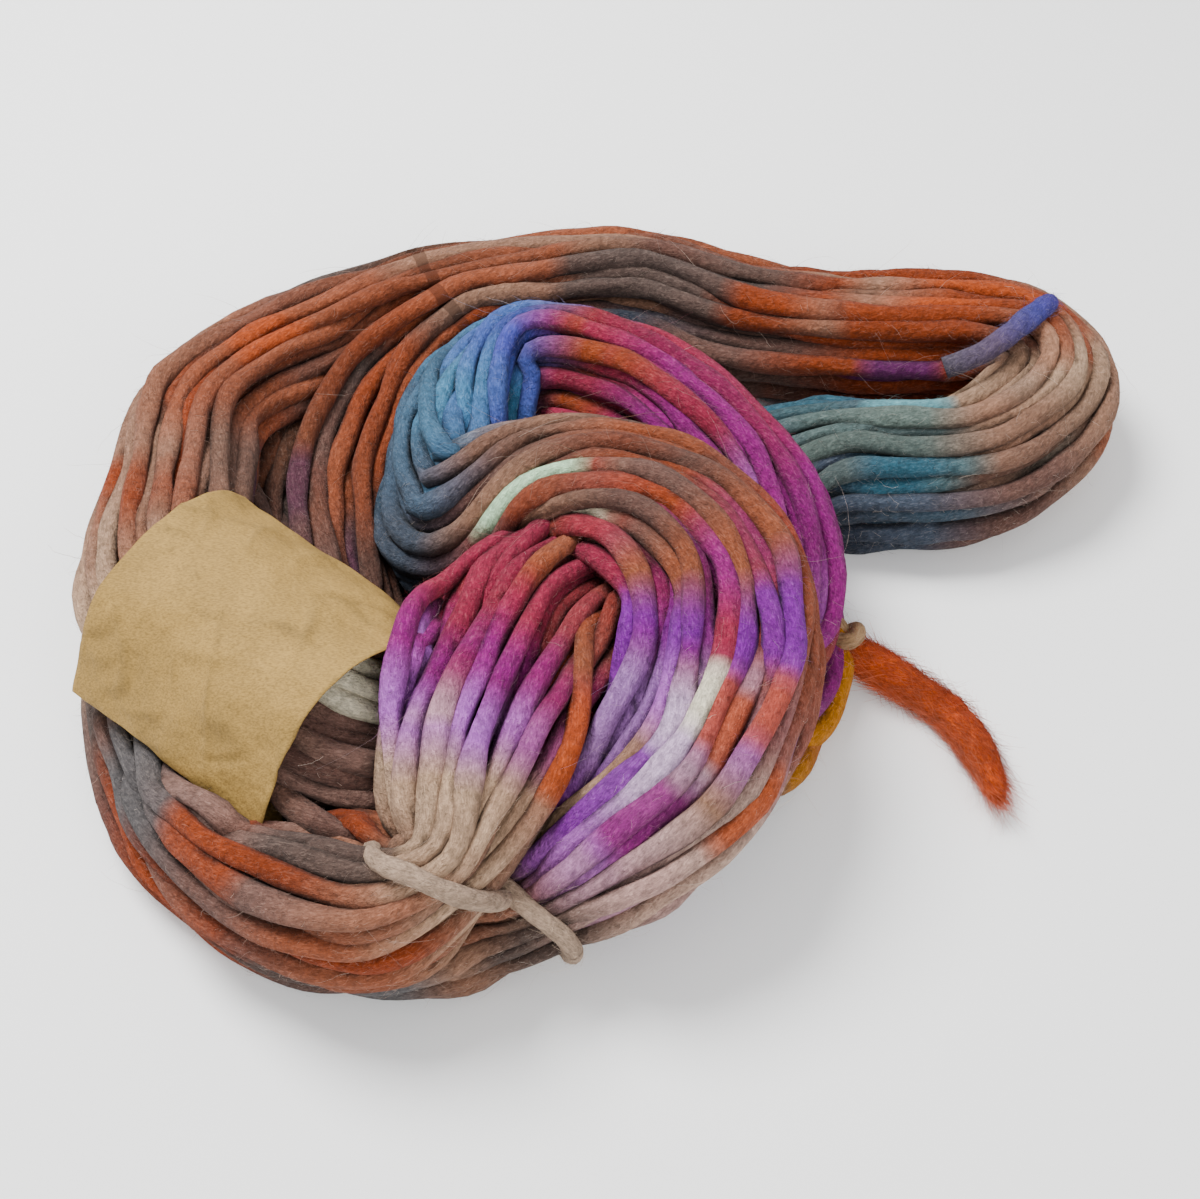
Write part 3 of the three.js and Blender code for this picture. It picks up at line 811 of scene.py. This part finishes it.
def hugRing(rowName, lean):
    # the ring that lies round the settled turns at this section, drawn in a little
    at, centre, along, side, up = sectionFrame(rowName)
    points = settled[np.abs(strands[:, :, 3] - at) < 0.5]
    points = points[np.abs((points - centre) @ along) < 6] - centre
    flat = np.stack([points @ side, points @ up], 1)
    turn = np.arange(tie["points"]) / tie["points"] * 2 * math.pi
    away = np.stack([np.cos(turn), np.sin(turn)], 1)
    reach = (flat @ away.T).max(0) + yarn["diameter"] / 2 + tie["diameter"] / 2 - tie["bite"]
    waves = np.fft.rfft(reach)
    waves[tie["waves"]:] = 0
    reach = np.fft.irfft(waves, len(turn))
    slope = (np.roll(reach, -1) - np.roll(reach, 1)) / (2 * (turn[1] - turn[0]))
    ring = away * reach[:, None] + np.stack([-away[:, 1], away[:, 0]], 1) * slope[:, None]
    slide = lean[0] * np.sin(turn) + lean[1] * np.cos(turn) + 0.8 * np.sin(3 * turn)
    line = centre + ring[:, :1] * side + ring[:, 1:] * up + along * slide[:, None]
    line[:, 2] = np.maximum(line[:, 2], -placing["z"] + tie["diameter"] / 2 + 0.2)
    return placed(line)


tieSets = []
tieTone = np.array(linear(tie["tone"]))
tieTone = tieTone * (1 + 0.1 * softWave(np.random.default_rng(3), 9, tie["points"]))[:, None]
tieTone = np.clip(tieTone, 0, 1)[None]
for name, rowName, lean, node in (("tieLeft", "tieOne", tie["leftLean"], "tie_left"),
                                  ("tieRight", "tieTwo", tie["rightLean"], "tie_right")):
    mesh, rings = rovingTubes(name, hugRing(rowName, lean)[None], [np.full(1, tie["diameter"] / 2 * mm)],
                              tieTone, True, tie["sides"], tie["thick"], tie["lump"], tie["seed"])
    showPiece(name, mesh, wool, (node,))
    tieSets.append(rings)
    solidMeshes.append(mesh)
print("ties drawn")


def sleeveSection(turn):
    # rounded at the upper right, drawn to a soft fold along the lower left
    c, s = math.cos(turn), math.sin(turn)
    fold = min(1, max(-c * 1.5, c * 0.8))
    high = sleeve["rise"] if s > 0 else -sleeve["drop"]
    return sleeve["half"] * c, high * (1 - abs(c) ** (2 - 0.3 * fold)) ** (0.5 + 0.38 * fold)


def drawSleeve():
    # a grid bent round the section, dented, with a few long creases that fade out at the folds
    bm = bmesh.new()
    bmesh.ops.create_grid(bm, x_segments=sleeve["along"], y_segments=sleeve["around"], size=0.5,
                          calc_uvs=True)
    seed = Vector((sleeve["seed"], 0, 0))
    # the crease weight also sets the painted shade along the creases in the paper's colour
    mark = bm.verts.layers.float.new("crease")
    for v in bm.verts:
        t, turn = v.co.x * sleeve["length"], v.co.y * 2 * math.pi
        u, w = sleeveSection(turn)
        place = Vector((t, u, w))
        push = noise.noise(place / 24 + seed) * 1.9 + noise.noise(place / 9 + seed) * 0.55
        inner = 1 - abs(math.cos(turn)) ** 8
        for turned, wide, high in sleeve["creases"]:
            line = (t * math.cos(turned) + u * math.sin(turned)) / wide
            line += 0.7 * noise.noise(place / 33 + seed * turned)
            ridge = max(0, 1 - abs(line - round(line)) * wide / 2.2)
            ridge *= max(0, 0.45 + 1.6 * noise.noise(place / 18))
            push += inner * high * ridge * 0.7
            v[mark] = max(v[mark], ridge)
        push = max(push, -0.9)
        end = abs(v.co.x) * 2
        flare = 1 + 0.02 * end ** 6
        t *= 1 + sleeve["spread"] * max(0, u / sleeve["half"])
        t += sleeve["under"] * max(0, -math.sin(turn)) * max(0, 2 * v.co.x) ** 2
        t += (0.7 * noise.noise(Vector((u / 24, w / 24, t)) + seed)) * end ** 8
        away = Vector((u / sleeve["half"], w / 24))
        away.normalize()
        v.co = Vector(placed(sleeveWorld(t, u * flare + away.x * push, w * flare + away.y * push)))
    bmesh.ops.remove_doubles(bm, verts=bm.verts, dist=1e-5)
    bmesh.ops.recalc_face_normals(bm, faces=bm.faces)
    mesh = bpy.data.meshes.new("paperSleeve")
    bm.to_mesh(mesh)
    bm.free()
    mesh.polygons.foreach_set("use_smooth", [True] * len(mesh.polygons))
    return mesh


def kraftPaper():
    # machine-made kraft paper, uncoated: matt tan with short darker fibres about 1 mm long, faint
    # clouding and shallow creases, along which painted shade darkens the tone
    made, tree, shader = startMaterial("kraftPaper", Roughness=0.78, IOR=1.45, Specular_IOR_Level=0.3)
    where = addNode(tree, "ShaderNodeTexCoord").outputs["Object"]
    turned = addNode(tree, "ShaderNodeMapping",
                     {"Vector": where, "Rotation": (0, 0, 0.7), "Scale": (900, 2300, 1600)})
    fibre = addNode(tree, "ShaderNodeTexNoise", {"Vector": turned.outputs[0], "Scale": 1.0, "Detail": 3.0})
    cloud = addNode(tree, "ShaderNodeTexNoise", {"Vector": where, "Scale": 70.0, "Detail": 4.0})
    crumple = addNode(tree, "ShaderNodeTexNoise", {"Vector": where, "Scale": 75.0, "Detail": 6.0})
    specks = addNode(tree, "ShaderNodeValToRGB", {0: fibre.outputs[0]})
    for stop, place, tone in zip(specks.color_ramp.elements, (0.3, 0.62), ("#7C6232", "#9C7C40")):
        stop.position = place
        stop.color = (*linear(tone), 1)
    level = addNode(tree, "ShaderNodeMapRange", {
        "Value": cloud.outputs[0], "From Min": 0.3, "From Max": 0.7, "To Min": 0.88, "To Max": 1.1})
    # painted shade: the tone is darkened along the sleeve's creases
    crease = addNode(tree, "ShaderNodeAttribute", attribute_name="crease")
    creaseShade = addNode(tree, "ShaderNodeMapRange", {
        "Value": crease.outputs["Fac"], "From Min": 0.1, "From Max": 1.0, "To Min": 1.0, "To Max": 0.76})
    both = addNode(tree, "ShaderNodeMath", {0: level.outputs[0], 1: creaseShade.outputs[0]},
                   operation="MULTIPLY")
    tone = addNode(tree, "ShaderNodeVectorMath",
                   {0: specks.outputs[0], "Scale": both.outputs[0]}, operation="SCALE")
    tree.links.new(tone.outputs[0], shader.inputs["Base Color"])
    rough = addNode(tree, "ShaderNodeBump", {"Height": fibre.outputs[0], "Strength": 0.25, "Distance": 0.0002})
    bump = addNode(tree, "ShaderNodeBump", {
        "Height": crumple.outputs[0], "Strength": 0.8, "Distance": 0.003, "Normal": rough.outputs[0]})
    tree.links.new(bump.outputs[0], shader.inputs["Normal"])
    return made


sleeveMesh = drawSleeve()
paper = showPiece("paperSleeve", sleeveMesh, kraftPaper(), ("label_band",))
wall = paper.modifiers.new("gauge", "SOLIDIFY")
wall.thickness = sleeve["gauge"] * mm
wall.offset = 0

tail = {
    "diameter": 12.4, "points": 34, "sides": 16, "lump": 0.11, "seed": 12, "tone": "#A8400A",
    "route": [(82, -15, 19), (92, -19.5, 14), (103, -25.5, 10.6), (115, -35.5, 9.9), (123, -51, 9.9),
              (127, -68, 9.9)],
    "taper": ((0, 0.08, 0.3, 0.75, 0.93, 1), (0.72, 0.95, 1.02, 0.92, 0.7, 0.3)),
    "fibres": 5200, "brush": {"length": (4.0, 9.0), "lean": 0.5, "rise": (0.05, 0.4)}, "tuft": 420,
    "fibreWidth": 0.2,
}
tip = {
    "diameter": 8.0, "points": 26, "sides": 12, "lump": 0.07, "seed": 14,
    "tones": ("#4A4450", "#54455E", "#3B3A80", "#37287E"), "stops": (0, 0.35, 0.7, 1),
    "route": [(121, 84, 47), (132, 86, 51), (143, 93, 54), (154, 103, 54.5), (163, 113, 51)],
    "taper": ((0, 0.85, 0.96, 1), (0.96, 0.98, 0.75, 0.4)),
}
# what shows of one more turn below the knot
mustard = {
    "diameter": 7.2, "points": 26, "sides": 12, "lump": 0.06, "seed": 18,
    "route": [(74, -6, 25), (80, -14, 20), (79, -28, 16), (73, -42, 14), (60, -53, 15)],
    "taper": ((0, 1), (1, 1)),
}
knot = {
    "at": (79, -12.5, 19.5), "scale": (2.3, 2.7, 2.6), "yarn": 5.6, "points": 84, "sides": 12,
    "lump": 0.06, "seed": 16, "tone": "#9A7A58",
}


def smoothRoute(route, count):
    # open smooth line through the route in even steps, with its length
    rows = np.array(route, float)
    rows = np.vstack([2 * rows[0] - rows[1], rows, 2 * rows[-1] - rows[-2]])
    fine = [catmullRom(*four, t) for four in zip(rows, rows[1:], rows[2:], rows[3:])
            for t in np.linspace(0, 1, 20, endpoint=False)]
    fine = np.array(fine + [rows[-2]])
    run = np.concatenate([[0], np.cumsum(np.linalg.norm(np.diff(fine, axis=0), axis=1))])
    at = np.linspace(0, run[-1], count)
    return placed(np.stack([np.interp(at, run, fine[:, c]) for c in range(3)], 1)), run[-1]


def looseStrand(name, strand, tone, made, nodes=()):
    # a strand with two free ends along its route: the piece, its line, length and rings
    line, length = smoothRoute(strand["route"], strand["points"])
    share = np.linspace(0, 1, strand["points"])
    radius = strand["diameter"] / 2 * mm * np.interp(share, *strand["taper"])
    mesh, rings = rovingTubes(name, line[None], [radius], tone[None], False,
                              strand["sides"], 0.05, strand["lump"], strand["seed"])
    return showPiece(name, mesh, made, nodes), line, length, rings


rng = np.random.default_rng(11)
tailTone = np.array(linear(tail["tone"])) * (1 + 0.14 * softWave(rng, 9, tail["points"]))[:, None]
tailWool = feltedRoving("combedWoolTail", 0.08)
tailPiece, tailLine, tailLength, tailRings = looseStrand(
    "tailStrand", tail, tailTone, tailWool, ("tail_end",))
stops = np.array([linear(tone) for tone in tip["tones"]])
tipTone = np.stack([np.interp(np.linspace(0, 1, tip["points"]), tip["stops"], stops[:, c])
                    for c in range(3)], 1)
tipPiece, tipLine, tipLength, tipRings = looseStrand(
    "yarnTip", tip, tipTone, wool, ("yarn_end",))
print("tail and tip drawn", round(tailLength, 1), round(tipLength, 1), "mm")

turn = np.arange(knot["points"]) / knot["points"] * 2 * math.pi
wound = np.stack([np.sin(turn) + 2 * np.sin(2 * turn), 1.5 * np.sin(3 * turn),
                  np.cos(turn) - 2 * np.cos(2 * turn)], 1)
knotLine = placed(wound * knot["scale"] + knot["at"])[None]
knotTone = np.repeat([[linear(knot["tone"])]], knot["points"], axis=1)
mesh, knotRings = rovingTubes("tailKnot", knotLine, [np.full(1, knot["yarn"] / 2 * mm)], knotTone, True,
                              knot["sides"], 0.05, knot["lump"], knot["seed"])
showPiece("tailKnot", mesh, wool, ("tail_knot",))
mustardTone = np.repeat([linear(dyes["mustard"])], mustard["points"], axis=0)
mustardRings = looseStrand("mustardTurn", mustard, mustardTone, wool)[3]
print("knot drawn")

# of the roots tried only those open to the air grow a fibre, about one in sixteen; lengths are in mm
fuzz = {
    "roots": 352000, "pieces": 3, "width": 0.12, "seed": 31, "paleness": 0.42,
    "size": {"length": (1.4, 4.2), "lean": 1.3, "rise": (0.25, 0.9)},
    "strays": 640, "straySize": {"length": (9.0, 20.0), "lean": 0.9, "rise": (0.2, 0.7)},
    "strayPoints": 9, "strayWave": 0.22, "strayTop": 90,
}


def treeOf(meshes):
    points, faces, first = [], [], 0
    for mesh in meshes:
        corner = readArray(mesh.loops, "vertex_index", np.int64) + first
        points += verticesOf(mesh).tolist()
        faces += [corner[p.loop_start:p.loop_start + p.loop_total].tolist() for p in mesh.polygons]
        first += len(mesh.vertices)
    return BVHTree.FromPolygons(points, faces)


def woolTone(colours, rng, pale):
    amount = rng.uniform(0.0, pale, (len(colours), 1))
    mixed = colours * (1 - amount) + np.array(linear("#DCCBBB")) * amount
    return np.clip(mixed * rng.uniform(0.8, 1.5, (len(colours), 1)), 0, 1)


rng = np.random.default_rng(fuzz["seed"])
tree = treeOf(solidMeshes + [sleeveMesh])
# painted shade in the turns' dye, darker down between them
for mesh in solidMeshes[:len(pieceNames)]:
    shadeCreases(mesh, tree)
print("creases shaded")
tried = fuzz["roots"] // 1
roots = rootsOn(skeinRings, skeinTones, tried, rng)
clear = openToAir(tree, *roots[:2])
point, out, along, shade = (part[clear] for part in roots)
print("fibre roots in the open", len(point), "of", tried)
made = fibreLines(point, out, along, rng, fuzz["size"], 3)
shades = woolTone(shade, rng, fuzz["paleness"])
for n, share in enumerate(np.array_split(np.arange(len(point)), fuzz["pieces"])):
    fibrePiece("fuzz" + "ABC"[n], made[share], shades[share], fuzz["width"], looseWool)
pick = rng.choice(len(point), fuzz["strays"], replace=False)
far = fibreLines(point[pick], out[pick], along[pick], rng, fuzz["straySize"], fuzz["strayPoints"])
wave = np.cumsum(rng.normal(0, fuzz["strayWave"], far.shape), axis=1) * mm
far += wave - wave[:, :1]
far[..., 2] = np.clip(far[..., 2], 0.3 * mm, fuzz["strayTop"] * mm)
fibrePiece("strayHairs", far, woolTone(shade[pick], rng, 0.75), fuzz["width"], looseWool)


def growFuzz(name, rings, tones, number, closed, pale):
    point, out, along, shade = rootsOn(rings, tones, number, rng, closed)
    made = fibreLines(point, out, along, rng, fuzz["size"])
    return fibrePiece(name, made, woolTone(shade, rng, pale), fuzz["width"], looseWool)


growFuzz("tieFuzzLeft", tieSets[0], tieTone, 1000, True, 0.4)
growFuzz("tieFuzzRight", tieSets[1], tieTone, 1000, True, 0.4)
growFuzz("knotFuzz", knotRings, knotTone, 500, True, 0.4)
growFuzz("mustardFuzz", mustardRings, mustardTone[None], 260, False, 0.4)
tipFuzz = growFuzz("tipFuzz", tipRings, tipTone[None], 900, False, 0.3)

# the tail is brushed out: long fibres along it and a loose tuft at its end
tailTones = np.clip(tailTone, 0, 1)[None]
point, out, along, shade = rootsOn(tailRings, tailTones, tail["fibres"], rng, False)
brushed = fibreLines(point, out, along, rng, tail["brush"])
ahead = unit(tailLine[-1] - tailLine[-3])
start = tailLine[-2] + rng.normal(0, 1.3 * mm, (tail["tuft"], 3))
start = start - ahead * rng.uniform(0, 4 * mm, (tail["tuft"], 1))
sway = rng.normal(0, 0.28, (tail["tuft"], 3)) * [1, 1, 0.5]
grown = rng.uniform(2.5, 6, (tail["tuft"], 1)) * mm
tuft = np.stack([start + (ahead + sway * s) * grown * s for s in np.linspace(0, 1, 4)], 1)
tuft[..., 2] = np.maximum(tuft[..., 2], 0.4 * mm)
tailShade = np.concatenate([shade, np.repeat([tailTones[0, -1]], tail["tuft"], axis=0)])
tailFuzz = fibrePiece("tailFuzz", np.concatenate([brushed, tuft]), woolTone(tailShade, rng, 0.12),
                      tail["fibreWidth"], looseWool)
print("fuzz drawn")

floorMesh = bpy.data.meshes.new("floor")
bm = bmesh.new()
bmesh.ops.create_grid(bm, x_segments=1, y_segments=1, size=3)
bm.to_mesh(floorMesh)
bm.free()
floorObject = bpy.data.objects.new("floor", floorMesh)
bpy.context.scene.collection.objects.link(floorObject)
# coated backing paper, matt: pale and even, so that only a soft shadow shows on it
backing, _, shader = startMaterial("backingPaper", Roughness=0.8)
shader.inputs["Base Color"].default_value = (*linear("#F8F8F7"), 1)
floorMesh.materials.append(backing)

world = bpy.data.worlds.new("studio")
bpy.context.scene.world = world
world.use_nodes = True
sky = world.node_tree.nodes["Background"]
sky.inputs["Color"].default_value = (0.97, 0.98, 1.0, 1)
sky.inputs["Strength"].default_value = 0.95


def areaLight(name, at, aim, size, power):
    data = bpy.data.lights.new(name, "AREA")
    data.shape = "DISK"
    data.size = size
    data.energy = power
    lamp = bpy.data.objects.new(name, data)
    lamp.location = at
    lamp.rotation_euler = (Vector(aim) - Vector(at)).to_track_quat("-Z", "Y").to_euler()
    bpy.context.scene.collection.objects.link(lamp)


areaLight("softboxTop", (-0.45, 0.35, 1.05), (0, 0, 0), 0.6, 27)
areaLight("softboxFront", (0.5, -0.9, 0.8), (0, 0, 0), 0.8, 8)
